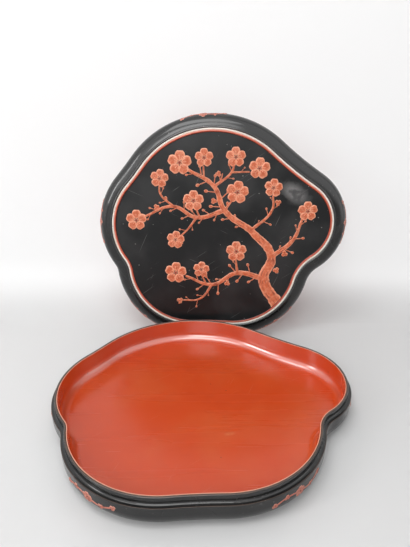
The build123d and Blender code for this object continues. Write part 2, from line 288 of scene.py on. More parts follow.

# Tray lining: cloth glued over the inside and built up to a cove, then vermilion lacquer drawn
# across from side to side. The cove and the wall keep their gloss. Use has dulled the floor and
# left hairlines, specks, pale chips and one scuff. The pale top edge is partly rubbed by the lid
# and partly a painted highlight along the rim.
VERMILION = (0.56, 0.052, 0.002, 1)
VERMILION_DEEP = (0.46, 0.04, 0.003, 1)
VERMILION_WORN = (0.6, 0.115, 0.03, 1)
VERMILION_CHIP = (0.75, 0.3, 0.14, 1)
VERMILION_EDGE_HIGHLIGHT = (0.78, 0.5, 0.36, 1)
SPECK_BROWN = (0.1, 0.012, 0.006, 1)
LINING_TOP = 33.9 * MM
LINING_RUB_AND_HIGHLIGHT = 1.0 * MM
LINING_BUMP = 0.8 * MM
LINING_DULLNESS = 0.24
STREAK_SCALE = (5.0, 70.0, 70.0)
STREAKS_ACROSS = (0, 0, 0)
FLOOR_SCUFF = (0.028, -0.044, 0.0065)


def stretched(tree, vector, turn, scale):
    """Coordinates turned, then drawn out by a scale for each axis."""
    turned = made(tree, "ShaderNodeMapping", {"Vector": vector, "Rotation": turn})
    return made(tree, "ShaderNodeMapping", {"Vector": turned, "Scale": scale})


def length_of(tree, vector):
    """Length of a vector."""
    return put(tree, "ShaderNodeVectorMath", {0: vector}, operation="LENGTH").outputs["Value"]


def scuffed(tree, place, middle, turn, stretch, core, edge, grain):
    """A rubbed patch: full within the core distance, gone at the edge, broken up by noise."""
    ragged = cloud(tree, place, grain, 6.0)
    offset = made(tree, "ShaderNodeVectorMath", {0: place, 1: middle}, operation="SUBTRACT")
    away = length_of(tree, stretched(tree, offset, (0, 0, turn), (1.0, stretch, 1.0)))
    away = plus(tree, away, times(tree, ragged, 1.25 * core))
    share = fade(tree, away, core, edge, 1.0, 0.0)
    return times(tree, share, fade(tree, ragged, 0.35, 0.7, 0.3, 1.0))


def vermilion(name, dullness, streak_turn, rubbed_top):
    """Vermilion lacquer with brush streaks, wear, hairlines, specks and a pale top edge: rubbing and
    a painted highlight.
    """
    material, t, place = finish_of(name, IOR=1.44, Coat_IOR=2.0, Coat_Roughness=0.2)
    coats = use(t, brushed_coats, place, Waves=16.0, Peel=700.0)
    streaks = cloud(t, stretched(t, place, streak_turn, STREAK_SCALE), 1.0, 3.0)
    scratches = use(t, hairlines, place, Run=18.0, Fineness=1100.0, Amount=0.04)["Lines"]
    specks = use(t, dust, place, Scale=110.0, Size=0.09)["Specks"]
    chips = use(t, dust, place, Scale=34.0, Size=0.035)["Specks"]
    scuff = scuffed(t, place, FLOOR_SCUFF, -0.2, 2.5, 5 * MM, 12 * MM, 300.0)
    down = calc(t, "ABSOLUTE", minus(t, rubbed_top, parts_of(t, place)["Z"]))
    rub = use(t, rubbed_edge, place, Distance=down, Width=LINING_RUB_AND_HIGHLIGHT, Patch=90.0)["Rub"]
    colour = tint(t, fade(t, streaks, 0.35, 0.75, 0.0, 0.16), VERMILION, VERMILION_DEEP)
    colour = tint(t, coats["Clouds"], colour, VERMILION_WORN, 0.34)
    colour = tint(t, scratches, colour, VERMILION_WORN, 0.35)
    colour = tint(t, specks, colour, SPECK_BROWN, 0.8)
    worn = calc(t, "MAXIMUM", times(t, chips, 0.7), times(t, scuff, 0.45))
    colour = tint(t, worn, colour, VERMILION_CHIP)
    # Pale top edge: rubbed by the lid, and partly a painted highlight along the rim.
    colour = tint(t, rub, colour, VERMILION_EDGE_HIGHLIGHT, 0.6)
    roughness = fade(t, streaks, 0.3, 0.8, dullness, dullness + 0.06)
    roughness = plus(t, roughness, times(t, scratches, 0.15))
    facing = put(t, "ShaderNodeTexCoord").outputs["Normal"]
    trodden = fade(t, parts_of(t, facing)["Z"], 0.86, 0.99)
    roughness = times(t, roughness, ease(t, trodden, 0.5, 1.0))
    t.links.new(ease(t, trodden, 1.0, 0.2), shader_of(material).inputs["Coat Weight"])
    height = plus(t, coats["Height"], times(t, streaks, 0.015))
    return surface(material, colour, roughness, height, LINING_BUMP)


lining_red = vermilion("tray_lining_lacquer", LINING_DULLNESS, STREAKS_ACROSS, LINING_TOP)
dress("tray_lining", lining_red)

# Tray sprigs: a plum blossom between two budding twigs on each lobe, built up in red lacquer
# over the black and cut with a knife while it was soft. Handling has rubbed their edges pale.
# Their red and pale are darker than the panel's: partly dulled by handling, partly painted shade.
SPRIG_RELIEF = 0.8 * MM
SPRIG_BLOSSOM = 6.4 * MM
SPRIG_BUD = 3.3 * MM
SPRIG_TWIG = 1.9 * MM
SPRIG_TWIG_RELIEF = 0.7 * SPRIG_RELIEF
SPRIG_BEND = (16 * MM, 2 * MM)
SPRIG_TIP = (29 * MM, 2 * MM)
# Darker than the panel's reds: partly handling wear, partly painted shade for the wall turned under.
SPRIG_SHADED_RED = (0.5, 0.125, 0.08, 1)
SPRIG_SHADED_PALE = (0.62, 0.3, 0.23, 1)
RAISED_DEEP = (0.24, 0.024, 0.01, 1)
RAISED_BUMP = 0.35 * MM
TRAY_SPRIG_HEIGHT = 16.5 * MM
TRAY_ROLL = 16 * MM
SUNK = 0.1 * MM
MERGE = 0.002 * MM
LIMB_STEP = 1.1 * MM
LIMB_END = 1.2 * MM
LIMB_MARK = 10.0
STAMEN_MARK = 2.0
HEART_MARK = 3.0

# Lobes of the outline, in degrees and millimetres: name, angle and reach of the crown, radius,
# angle of the sprig's place
LOBES = (
    ("right", 11.0, 171.7, 78.0, 3.2),
    ("back", 129.0, 159.6, 139.0, 99.0),
    ("left", 177.5, 170.0, 101.0, 180.5),
    ("front_left", 231.0, 169.2, 106.0, 233.0),
    ("front_right", 293.5, 156.0, 108.0, 309.4),
)
LOBE_RADII = [radius for _, _, _, radius, _ in LOBES]
LOBE_CENTRES = [
    Vector((math.cos(math.radians(way)), math.sin(math.radians(way)))) * (reach - radius)
    for _, way, reach, radius, _ in LOBES
]
scene = bpy.context.scene


def uv_parts(tree):
    """Place on a form's UV map: from its middle or outer side to its edge, and along it."""
    return parts_of(tree, put(tree, "ShaderNodeTexCoord").outputs["UV"])


def mixed(tree, share, low, high):
    """A number between two others by a share."""
    return made(tree, "ShaderNodeMix", {0: share, 2: low, 3: high})


def raised_lacquer(name, red, pale):
    """Red relief with cut veins or bark, its edges rubbed pale and its hearts dark."""
    material, t, place = finish_of(name, IOR=1.48)
    edge, run, _ = uv_parts(t)
    mottle = cloud(t, place, 260.0, 5.0)
    limb = calc(t, "GREATER_THAN", run, LIMB_MARK / 2)
    thread = calc(t, "GREATER_THAN", edge, STAMEN_MARK - 0.5)
    heart = calc(t, "GREATER_THAN", edge, HEART_MARK - 0.5)
    veins = calc(t, "ABSOLUTE", calc(t, "SINE", times(t, run, 28.3)))
    veins = fade(t, veins, 0.05, 0.3, 1.0, 0.0)
    veins = times(t, veins, fade(t, edge, 0.3, 0.85, 1.0, 0.0))
    grain = vector_of(t, times(t, edge, 5.0), run)
    grain = stretched(t, grain, (0, 0, 0), (1.0, 90.0, 1.0))
    bark = fade(t, cloud(t, grain, 1.0, 3.0), 0.55, 0.66)
    cuts = mixed(t, limb, veins, bark)
    colour = tint(t, fade(t, mottle, 0.35, 0.7, 0.0, 0.45), red, pale)
    rim = times(t, fade(t, edge, 0.62, 0.9), fade(t, mottle, 0.3, 0.6, 0.5, 1.0))
    colour = tint(t, rim, colour, pale)
    colour = tint(t, cuts, colour, RAISED_DEEP, 0.75)
    colour = tint(t, fade(t, edge, 0.95, 1.0), colour, RAISED_DEEP)
    colour = tint(t, thread, colour, pale)
    colour = tint(t, heart, colour, RAISED_DEEP)
    roughness = fade(t, mottle, 0.3, 0.7, 0.34, 0.5)
    height = minus(t, mottle, times(t, cuts, 0.8))
    return surface(material, colour, roughness, height, RAISED_BUMP)


# The sprig finish: red darkened partly by wear and partly as painted shade.
shaded_sprig_red = raised_lacquer("sprig_lacquer", SPRIG_SHADED_RED, SPRIG_SHADED_PALE)


def grower(name, **inputs):
    """An empty geometry tree with named inputs, each with its usual size or its kind."""
    tree = bpy.data.node_groups.new(name, "GeometryNodeTree")
    for label, value in inputs.items():
        kind = value if isinstance(value, str) else type(value).__name__.capitalize()
        sockets = {"in_out": "INPUT", "socket_type": "NodeSocket" + kind}
        socket = tree.interface.new_socket(label.replace("_", " "), **sockets)
        if kind != value:
            socket.default_value = value
    tree.interface.new_socket("Mesh", in_out="OUTPUT", socket_type="NodeSocketGeometry")
    return tree, tree.nodes.new("NodeGroupInput").outputs


def end_tree(tree, shape):
    """Ends a geometry tree with its result."""
    tree.links.new(shape, tree.nodes.new("NodeGroupOutput").inputs["Mesh"])


def finish_tree(tree, shape, finish):
    """Ends a geometry tree with real, smooth geometry in its finish."""
    shape = made(tree, "GeometryNodeSetShadeSmooth", {0: shape})
    shape = made(tree, "GeometryNodeRealizeInstances", {0: shape})
    end_tree(tree, made(tree, "GeometryNodeSetMaterial", {"Geometry": shape, "Material": finish}))


def marked(tree, shape, edge, run=0.0):
    """Stores the place from middle to edge, and along a form, as its UV map."""
    sockets = {"Geometry": shape, "Name": "UVMap", "Value": vector_of(tree, edge, run)}
    settings = {"data_type": "FLOAT2", "domain": "CORNER"}
    return made(tree, "GeometryNodeStoreNamedAttribute", sockets, **settings)


def point_parts(tree):
    """Coordinates of the geometry so far."""
    return parts_of(tree, made(tree, "GeometryNodeInputPosition"))


def moved_to(tree, shape, x, y, z):
    """Geometry with every point set to worked-out coordinates."""
    sockets = {"Geometry": shape, "Position": vector_of(tree, x, y, z)}
    return made(tree, "GeometryNodeSetPosition", sockets)


def unit_grid(tree, rows, columns):
    """A flat grid of size one around the middle."""
    sockets = {"Size X": 1, "Size Y": 1, "Vertices X": rows, "Vertices Y": columns}
    return made(tree, "GeometryNodeMeshGrid", sockets)


# One petal: a low dished dome, narrower towards the flower and nicked at its tip
petal_tree, given = grower(
    "lacquer_petal", Middle=8 * MM, Length=6 * MM, Width=6 * MM, Relief=1 * MM, Nick=0.14
)
t = petal_tree
shape = unit_grid(t, 7, 25)
grid = point_parts(t)
ring = plus(t, grid["X"], 0.5)
turn = times(t, plus(t, grid["Y"], 0.5), math.tau)
shape = marked(t, shape, ring, calc(t, "DIVIDE", turn, math.tau))
cosine = calc(t, "COSINE", turn)
nick = minus(t, 1.0, times(t, given["Nick"], fade(t, cosine, 0.86, 1.0)))
narrow = plus(t, 1.0, times(t, calc(t, "MINIMUM", cosine, 0.0), 0.3))
x = times(t, given["Length"], ring, times(t, nick, cosine))
y = times(t, given["Width"], ring, times(t, narrow, calc(t, "SINE", turn)))
dish = plus(t, 0.72, times(t, calc(t, "POWER", ring, 2.0), 0.28))
dome = times(t, minus(t, 1.0, calc(t, "POWER", ring, 6.0)), dish)
z = minus(t, times(t, given["Relief"], dome), SUNK)
shape = moved_to(t, shape, plus(t, x, given["Middle"]), y, z)
end_tree(t, made(t, "GeometryNodeMergeByDistance", {"Geometry": shape, "Distance": MERGE}))


def spin(tree, angle):
    """A turn about the upright axis."""
    return made(tree, "FunctionNodeEulerToRotation", {0: vector_of(tree, z=angle)})


def ring_of(tree, shape, count, turn, size=(1, 1, 1)):
    """Copies of a shape turned evenly around the middle."""
    points = made(tree, "GeometryNodePoints", {"Count": count})
    step = calc(tree, "DIVIDE", math.tau, count)
    angle = plus(tree, times(tree, made(tree, "GeometryNodeInputIndex"), step), turn)
    sockets = {"Points": points, "Instance": shape, "Rotation": spin(tree, angle), "Scale": size}
    return made(tree, "GeometryNodeInstanceOnPoints", sockets)


def chance_of(tree, low, high, seed):
    """A random number for each copy."""
    sockets = {2: low, 3: high, "Seed": seed}
    return put(tree, "FunctionNodeRandomValue", sockets, data_type="FLOAT").outputs[1]


def flat_size(tree, low, high, seed):
    """A random size for each copy within its plane."""
    size = chance_of(tree, low, high, seed)
    return vector_of(tree, size, size, 1.0)


def together(tree, *shapes):
    """Several shapes as one."""
    node = tree.nodes.new("GeometryNodeJoinGeometry")
    for shape in shapes:
        tree.links.new(shape, node.inputs[0])
    return node.outputs[0]


def ball_of(tree, detail, mark):
    """A ball of radius one with its mark."""
    ball = made(tree, "GeometryNodeMeshIcoSphere", {"Radius": 1.0, "Subdivisions": detail})
    return marked(tree, ball, mark)


# A blossom: petals around a small heart, with fine stamens of uneven length over them
blossom_tree, given = grower(
    "plum_blossom",
    Radius=14 * MM,
    Relief=1 * MM,
    Petals=5,
    Petal_share=0.43,
    Turn=0.0,
    Stamens=13,
    Seed=1,
    Finish="Material",
)
t = blossom_tree
radius = given["Radius"]
relief = given["Relief"]
length = times(t, radius, given["Petal share"])
sockets = {
    "Middle": minus(t, radius, length),
    "Length": length,
    "Width": times(t, length, 0.97),
    "Relief": relief,
}
petal = made(t, "GeometryNodeGroup", sockets, node_tree=petal_tree)
petals = ring_of(t, petal, given["Petals"], given["Turn"])

strip = marked(t, unit_grid(t, 5, 3), STAMEN_MARK)
grid = point_parts(t)
crown = times(t, calc(t, "POWER", calc(t, "ABSOLUTE", grid["Y"]), 2.0), 4.0)
crown = minus(t, 1.0, crown)
x = times(t, radius, plus(t, 0.1, times(t, plus(t, grid["X"], 0.5), 0.36)))
z = times(t, relief, plus(t, 0.72, times(t, crown, 0.3)))
strip = moved_to(t, strip, x, times(t, grid["Y"], radius, 0.035), z)
ball = point_parts(t)
small = times(t, radius, 0.042)
x = plus(t, times(t, ball["X"], small), times(t, radius, 0.48))
z = times(t, relief, plus(t, 0.85, times(t, ball["Z"], 0.3)))
anther = moved_to(t, ball_of(t, 2, STAMEN_MARK), x, times(t, ball["Y"], small), z)
sizes = flat_size(t, 0.72, 1.12, given["Seed"])
stamens = ring_of(t, together(t, strip, anther), given["Stamens"], 0.2, sizes)
wide = times(t, radius, 0.13)
x = times(t, ball["X"], wide)
z = times(t, ball["Z"], relief, 1.15)
heart = moved_to(t, ball_of(t, 3, HEART_MARK), x, times(t, ball["Y"], wide), z)
finish_tree(t, together(t, petals, stamens, heart), given["Finish"])


def curve_of(tree, path):
    """The curve of a path object."""
    return put(tree, "GeometryNodeObjectInfo", {"Object": path}).outputs["Geometry"]


def cross_line(tree, start, count):
    """A straight section from a start on the first axis to one, with evenly set points."""
    line = made(tree, "GeometryNodeCurvePrimitiveLine", {"Start": (start, 0, 0), "End": (1, 0, 0)})
    return made(tree, "GeometryNodeResampleCurve", {"Curve": line, "Count": count}, mode="COUNT")


def captured(tree, shape, **values):
    """Keeps numbers on a curve: gives the curve, then each number by its name."""
    node = tree.nodes.new("GeometryNodeCaptureAttribute")
    for label in values:
        node.capture_items.new("FLOAT", label)
    tree.links.new(shape, node.inputs[0])
    for label, value in values.items():
        tree.links.new(value, node.inputs[label])
    return node.outputs


# A limb: a low rounded ribbon along a path, as wide as the path's radius, with ragged sides
limb_tree, given = grower(
    "plum_limb", Path="Object", Relief=0.6 * MM, Ragged=0.2, Seed=1, Finish="Material"
)
t = limb_tree
sockets = {"Curve": curve_of(t, given["Path"]), "Length": LIMB_STEP}
path = made(t, "GeometryNodeResampleCurve", sockets, mode="LENGTH")
sockets = {0: made(t, "GeometryNodeInputPosition"), 1: vector_of(t, z=given["Seed"])}
spot = made(t, "ShaderNodeVectorMath", sockets, operation="ADD")
ragged = times(t, minus(t, cloud(t, spot, 150.0, 2.0), 0.5), 2.0, given["Ragged"])
radius = times(t, made(t, "GeometryNodeInputRadius"), plus(t, 1.0, ragged))
path = made(t, "GeometryNodeSetCurveRadius", {"Curve": path, "Radius": radius})
path = made(t, "GeometryNodeSetCurveNormal", {"Curve": path}, mode="Z_UP")
run = put(t, "GeometryNodeSplineParameter").outputs["Length"]
left = minus(t, put(t, "GeometryNodeSplineLength").outputs["Length"], run)
kept = captured(t, path, Run=run, Left=left)
factor = put(t, "GeometryNodeSplineParameter").outputs["Factor"]
side = captured(t, cross_line(t, -1, 9), Across=factor)
width = made(t, "GeometryNodeInputRadius")
sockets = {"Curve": kept[0], "Profile Curve": side[0], "Scale": width}
ribbon = made(t, "GeometryNodeCurveToMesh", sockets)
across = calc(t, "ABSOLUTE", minus(t, times(t, side["Across"], 2.0), 1.0))
ribbon = marked(t, ribbon, across, plus(t, kept["Run"], LIMB_MARK))
ends = fade(t, calc(t, "MINIMUM", kept["Run"], kept["Left"]), 0.0, LIMB_END)
dome = times(t, minus(t, 1.0, calc(t, "POWER", across, 4.0)), ends)
flat = point_parts(t)
lift = minus(t, times(t, given["Relief"], dome), SUNK)
finish_tree(t, moved_to(t, ribbon, flat["X"], flat["Y"], lift), given["Finish"])


def placed(name, data):
    """A new object in the scene."""
    thing = bpy.data.objects.new(name, data)
    scene.collection.objects.link(thing)
    return thing


def grow(tree, **sizes):
    """Runs a geometry tree with its sizes and returns what it makes as a plain mesh."""
    holder = placed(tree.name, bpy.data.meshes.new(tree.name))
    modifier = holder.modifiers.new(tree.name, "NODES")
    modifier.node_group = tree
    for socket in tree.interface.items_tree:
        label = socket.name.replace(" ", "_")
        if socket.in_out == "INPUT" and label in sizes:
            modifier[socket.identifier] = sizes[label]
    graph = bpy.context.evaluated_depsgraph_get()
    mesh = bpy.data.meshes.new_from_object(holder.evaluated_get(graph), depsgraph=graph)
    bpy.data.objects.remove(holder)
    return mesh


def new_path(name, kind):
    """An empty path in the scene, and its spline."""
    curve = bpy.data.curves.new(name, "CURVE")
    curve.dimensions = "3D"
    return placed(name, curve), curve.splines.new(kind)


def along(tree, stations, finish, **sizes):
    """What a tree grows along a smooth path through stations of x, y and width."""
    path, spline = new_path("limb_path", "BEZIER")
    spline.bezier_points.add(len(stations) - 1)
    for point, (x, y, width) in zip(spline.bezier_points, stations):
        point.co = (x, y, 0)
        point.radius = width / 2
        point.handle_left_type = "AUTO"
        point.handle_right_type = "AUTO"
    bpy.context.view_layer.update()
    mesh = grow(tree, Path=path, Finish=finish, **sizes)
    bpy.data.objects.remove(path)
    return mesh


def shifted(mesh, x, y):
    """A flat mesh moved within its plane."""
    mesh.transform(Matrix.Translation((x, y, 0)))
    return mesh


def gathered(name, meshes, finish, body, nodes):
    """One piece from several meshes, riding on a body in place of CAD nodes."""
    joined = bmesh.new()
    for mesh in meshes:
        joined.from_mesh(mesh)
    whole = bpy.data.meshes.new(name)
    joined.to_mesh(whole)
    joined.free()
    whole.materials.append(finish)
    piece = placed(name, whole)
    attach(piece, body)
    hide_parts(*nodes)


def sprig_meshes(seed):
    """The flat meshes of one sprig: blossom, twigs and buds."""
    sizes = {"Relief": SPRIG_RELIEF, "Seed": seed, "Finish": shaded_sprig_red}
    meshes = [grow(blossom_tree, Radius=SPRIG_BLOSSOM, Turn=math.pi / 2, Stamens=7, **sizes)]
    for way in (-1, 1):
        bend = (way * SPRIG_BEND[0], -way * SPRIG_BEND[1])
        tip = (way * SPRIG_TIP[0], way * SPRIG_TIP[1])
        stations = [(*place, SPRIG_TWIG) for place in ((0, 0), bend, tip)]
        twig = {"Relief": SPRIG_TWIG_RELIEF, "Ragged": 0.25, "Seed": seed + way}
        meshes.append(along(limb_tree, stations, shaded_sprig_red, **twig))
        bud = {"Radius": SPRIG_BUD, "Petals": 3, "Petal_share": 0.55, "Stamens": 0}
        for place in (bend, tip):
            meshes.append(shifted(grow(blossom_tree, Turn=way * 0.6, **bud, **sizes), *place))
    return meshes


def wrap(mesh, lobe, middle, roll_middle, roll, hanging):
    """Bends a flat mesh onto a lobe's wall: along the lobe, up the wall and out of it."""
    flat = np.array([vertex.co for vertex in mesh.vertices])
    height = middle + flat[:, 1]
    over = np.maximum(roll_middle - height if hanging else height - roll_middle, 0)
    out = np.sqrt(roll**2 - over**2) / roll
    tilt = over / roll * (-1 if hanging else 1)
    reach = LOBE_RADII[lobe] * MM - roll * (1 - out) + out * flat[:, 2]
    angle = math.radians(LOBES[lobe][4]) + flat[:, 0] / (LOBE_RADII[lobe] * MM)
    x = LOBE_CENTRES[lobe].x * MM + reach * np.cos(angle)
    y = LOBE_CENTRES[lobe].y * MM + reach * np.sin(angle)
    z = height + tilt * flat[:, 2]
    for vertex, place in zip(mesh.vertices, np.stack((x, y, z), 1)):
        vertex.co = place
    return mesh


def lay_sprigs(body, seed, stand, *wall):
    """One sprig on each lobe of a body's wall, moved to where the body stands."""
    for lobe, (name, *_) in enumerate(LOBES):
        meshes = [wrap(mesh, lobe, *wall) for mesh in sprig_meshes(seed + lobe * 3)]
        for mesh in meshes:
            mesh.transform(stand)
        nodes = [f"{body}_sprig_{name}"]
        gathered(f"{body}_sprig_lacquer_{name}", meshes, shaded_sprig_red, body, nodes)


lay_sprigs("tray", 0, Matrix(), TRAY_SPRIG_HEIGHT, TRAY_ROLL, TRAY_ROLL, True)

# Lid wall: a skirt that drops around the lip and rounds over to the rim around the panel.
# Black lacquer with the tray's polish, rubbed along the skirt's lower edge. The lid stands on
# its two front lobes behind the tray and leans back. Lengths without MM are in millimetres.
LEAN = math.radians(10.3)
TURN = math.radians(-2.1)
SIDE_SHIFT = 25.0
LID_GAP = 3.0
LID_TOP = 22.0
BEAD_HEIGHT = 1.6
SKIRT_RUB = 0.8 * MM

front_left = LOBE_CENTRES[3]
front_right = LOBE_CENTRES[4]
between = front_right - front_left
roll = math.asin((LOBE_RADII[4] - LOBE_RADII[3]) / between.length)
roll -= math.atan2(between.y, between.x)
stand_reach = LOBE_RADII[3] - front_left.x * math.sin(roll) - front_left.y * math.cos(roll)
lid_up = stand_reach * math.cos(LEAN)
lid_back = LOBE_CENTRES[1].y + LOBE_RADII[1] + LID_GAP + (LID_TOP + BEAD_HEIGHT) / math.cos(LEAN)
lid_back += (lid_up - LEDGE / MM) * math.tan(LEAN)
facing = Matrix.Rotation(TURN, 3, "Z") @ Matrix.Rotation(-LEAN, 3, "X") @ Vector((0, -1, 0))
across = Matrix.Rotation(roll, 3, facing) @ Matrix.Rotation(TURN, 3, "Z") @ Vector((1, 0, 0))
lid_stand = Matrix((across, facing.cross(across), facing)).transposed().to_4x4()
lid_stand.translation = Vector((SIDE_SHIFT, lid_back, lid_up)) * MM


def on_lid(tree, place):
    """Object coordinates seen from the lid: across, up the panel and out of it."""
    move, turn, _ = lid_stand.inverted().decompose()
    sockets = {"Vector": place, "Location": move, "Rotation": turn.to_euler("XYZ")}
    return made(tree, "ShaderNodeMapping", sockets)


def above_skirt_edge(tree, place):
    """Distance up from the lower edge of the lid's skirt."""
    return parts_of(tree, on_lid(tree, place))["Z"]


dress("lid_wall", black_lacquer("lid_wall_lacquer", WALL_DULLNESS, above_skirt_edge, SKIRT_RUB))

# Lid panel: the flat board that carries the ornament, set a little below the rim.
# Satin black lacquer, scuffed by what was laid on it: one cloudy rubbed patch at the upper
# right, fine scratches and a few small pale marks.
PANEL_BLACK = (0.0065, 0.007, 0.0075, 1)
PANEL_GREY = (0.017, 0.0176, 0.0182, 1)
SCUFF_GREY = (0.2, 0.2, 0.2, 1)
SCUFF_PLACE = (0.094, 0.058, 0.0212)


def panel_lacquer():
    """Satin black lacquer with scuffs, scratches and a rubbed patch."""
    material, t, place = finish_of("lid_panel_lacquer", IOR=1.38)
    place = on_lid(t, place)
    height, colour, roughness = coated(t, place, PANEL_BLACK, PANEL_GREY, 0.3, 0.42, Waves=22.0)
    scratches = use(t, hairlines, place, Run=26.0, Amount=0.16)["Lines"]
    specks = use(t, dust, place, Scale=170.0, Size=0.14)["Specks"]
    scuff = scuffed(t, place, SCUFF_PLACE, 0.5, 1.7, 24 * MM, 42 * MM, 120.0)
    colour = tint(t, scuff, colour, SCUFF_GREY)
    colour = tint(t, scratches, colour, SCUFF_GREY, 0.35)
    colour = tint(t, specks, colour, DUST_GREY, 0.9)
    roughness = plus(t, roughness, times(t, scuff, 0.15))
    height = minus(t, height, times(t, scratches, 0.03))
    return surface(material, colour, roughness, height, BLACK_BUMP)


dress("lid_panel", panel_lacquer())

# Lid lining: cloth and vermilion lacquer over the underside of the lid, coved into its wall.
# It is drawn up and down as the lid stands, and seldom touched, so its edge isn't rubbed.
LID_LINING_DULLNESS = 0.26
STREAKS_UPRIGHT = (0, 1.57, 0)
OUT_OF_REACH = -1.0
lining_red = vermilion("lid_lining_lacquer", LID_LINING_DULLNESS, STREAKS_UPRIGHT, OUT_OF_REACH)
dress("lid_lining", lining_red)

# Strips around the panel, bent to the outline and laid on the rim one inside the other:
# a polished black bead, a cream line and a red bead. The cream has yellowed unevenly and the
# red is rubbed paler on its outer side, next to the cream.
NOTCHES = (500.0, 500.0, 20.0, 600.0, 36.0)
BEAD = (16.3 * MM, 3.0 * MM, BEAD_HEIGHT * MM)
LINE = (19.3 * MM, 2.2 * MM, 1.0 * MM)
RED = (21.5 * MM, 3.1 * MM, 1.2 * MM)
BEAD_RED = (0.5, 0.08, 0.035, 1)
BEAD_PALE = (0.8, 0.36, 0.27, 1)
CREAM = (0.88, 0.84, 0.77, 1)
CREAM_AGED = (0.72, 0.58, 0.44, 1)
BEAD_BUMP = 0.05 * MM
STRIP_BUMP = 0.2 * MM


def notch_centre(i):
    """Centre of the hollow arc between a lobe and the next, in millimetres."""
    here = LOBE_CENTRES[i]
    step = LOBE_CENTRES[(i + 1) % 5] - here
    near = LOBE_RADII[i] + NOTCHES[i]
    far = LOBE_RADII[(i + 1) % 5] + NOTCHES[i]
    onward = (step.length_squared + near**2 - far**2) / (2 * step.length)
    out = math.sqrt(near**2 - onward**2)
    way = step.normalized()
    return here + way * onward + Vector((way.y, -way.x)) * out


def bearing(way):
    """Angle of a flat direction."""
    return math.atan2(way.y, way.x)


def arc(centre, radius, start, turn):
    """Points about a millimetre apart on an arc, without its last one."""
    count = max(4, round(abs(turn) * radius))
    angles = [start + turn * i / count for i in range(count)]
    return [centre + Vector((math.cos(a), math.sin(a))) * radius for a in angles]


def outline_path():
    """The box's outline, lobes and notches in turn, as a closed curve."""
    hollows = [notch_centre(i) for i in range(5)]
    points = []
    for i, middle in enumerate(LOBE_CENTRES):
        start = bearing(hollows[i - 1] - middle)
        turn = (bearing(hollows[i] - middle) - start) % math.tau
        points += arc(middle, LOBE_RADII[i], start, turn)
        start = bearing(middle - hollows[i])
        turn = (start - bearing(LOBE_CENTRES[(i + 1) % 5] - hollows[i])) % math.tau
        points += arc(hollows[i], NOTCHES[i], start, -turn)
    path, spline = new_path("outline_path", "POLY")
    spline.points.add(len(points) - 1)
    spline.use_cyclic_u = True
    for target, point in zip(spline.points, points):
        target.co = (point.x * MM, point.y * MM, 0, 1)
    return path


# A strip: a rounded section swept along the outline at an inset, the UV map running across it
strip_tree, given = grower(
    "panel_strip",
    Path="Object",
    Inset=20 * MM,
    Width=3 * MM,
    Height=1 * MM,
    Foot=LID_TOP * MM,
    Fullness=2.5,
    Finish="Material",
)
t = strip_tree
full = given["Fullness"]
path = made(t, "GeometryNodeSetCurveNormal", {"Curve": curve_of(t, given["Path"])}, mode="Z_UP")
factor = put(t, "GeometryNodeSplineParameter").outputs["Factor"]
side = captured(t, cross_line(t, 0, 25), Across=minus(t, 1.0, factor))
lean = minus(t, times(t, side["Across"], 2.0), 1.0)
lean = calc(t, "SINE", times(t, lean, math.pi / 2))
crown = minus(t, 1.0, calc(t, "POWER", calc(t, "ABSOLUTE", lean), full))
crown = calc(t, "POWER", calc(t, "MAXIMUM", crown, 0.0), calc(t, "DIVIDE", 1.0, full))
inward = times(t, given["Width"], plus(t, 0.5, times(t, lean, 0.5)))
inward = times(t, plus(t, given["Inset"], inward), -1.0)
down = times(t, plus(t, given["Foot"], times(t, given["Height"], crown)), -1.0)
section = moved_to(t, side[0], inward, down, 0.0)
sockets = {"Curve": path, "Profile Curve": section, "Scale": 1.0}
swept = made(t, "GeometryNodeCurveToMesh", sockets)
finish_tree(t, marked(t, swept, side["Across"]), given["Finish"])


def bead_lacquer():
    """High black polish with faint waves along the bead."""
    material, t, place = finish_of("panel_bead_lacquer", IOR=1.7)
    height, colour, roughness = coated(t, place, BLACK, BLACK_CLOUDED, 0.05, 0.1, Waves=60.0)
    colour = tint(t, use(t, dust, place)["Specks"], colour, DUST_GREY, 0.5)
    return surface(material, colour, roughness, height, BEAD_BUMP)


def cream_lacquer():
    """Cream lacquer with uneven yellowing and tiny dark nicks."""
    material, t, place = finish_of("panel_line_lacquer", IOR=1.5)
    height, colour, roughness = coated(t, place, CREAM, CREAM_AGED, 0.25, 0.4, 0.4, Waves=40.0)
    specks = use(t, dust, place, Scale=240.0, Size=0.2)["Specks"]
    colour = tint(t, specks, colour, GROUND_BROWN, 0.5)
    return surface(material, colour, roughness, height, STRIP_BUMP)


def bead_red_lacquer():
    """Red lacquer, pale on its outer side and dark where it meets the panel."""
    material, t, place = finish_of("panel_red_bead_lacquer", IOR=1.5)
    coats = use(t, brushed_coats, place, Waves=40.0)
    across = uv_parts(t)["X"]
    worn = fade(t, across, 0.25, 0.6, 0.95, 0.0)
    worn = times(t, worn, ease(t, coats["Clouds"], 0.6, 1.0))
    colour = tint(t, worn, BEAD_RED, BEAD_PALE)
    colour = tint(t, fade(t, across, 0.55, 0.8), colour, RAISED_DEEP)
    colour = tint(t, fade(t, across, 0.75, 0.95, 0.0, 0.8), colour, BLACK)
    roughness = ease(t, coats["Clouds"], 0.2, 0.35)
    return surface(material, colour, roughness, coats["Height"], STRIP_BUMP)


outline = outline_path()
for name, (inset, width, height), fullness, finish, slot in (
    ("panel_bead", BEAD, 2.0, bead_lacquer(), "black_lacquer"),
    ("panel_line", LINE, 3.0, cream_lacquer(), "cream_line"),
    ("panel_red_bead", RED, 2.4, bead_red_lacquer(), "raised_red"),
):
    sizes = {"Inset": inset, "Width": width, "Height": height, "Fullness": fullness}
    mesh = grow(strip_tree, Path=outline, Foot=LID_TOP * MM, Finish=finish, **sizes)
    mesh.transform(lid_stand)
    gathered(f"{name}_strip", [mesh], finish, "lid", [name])
bpy.data.objects.remove(outline)

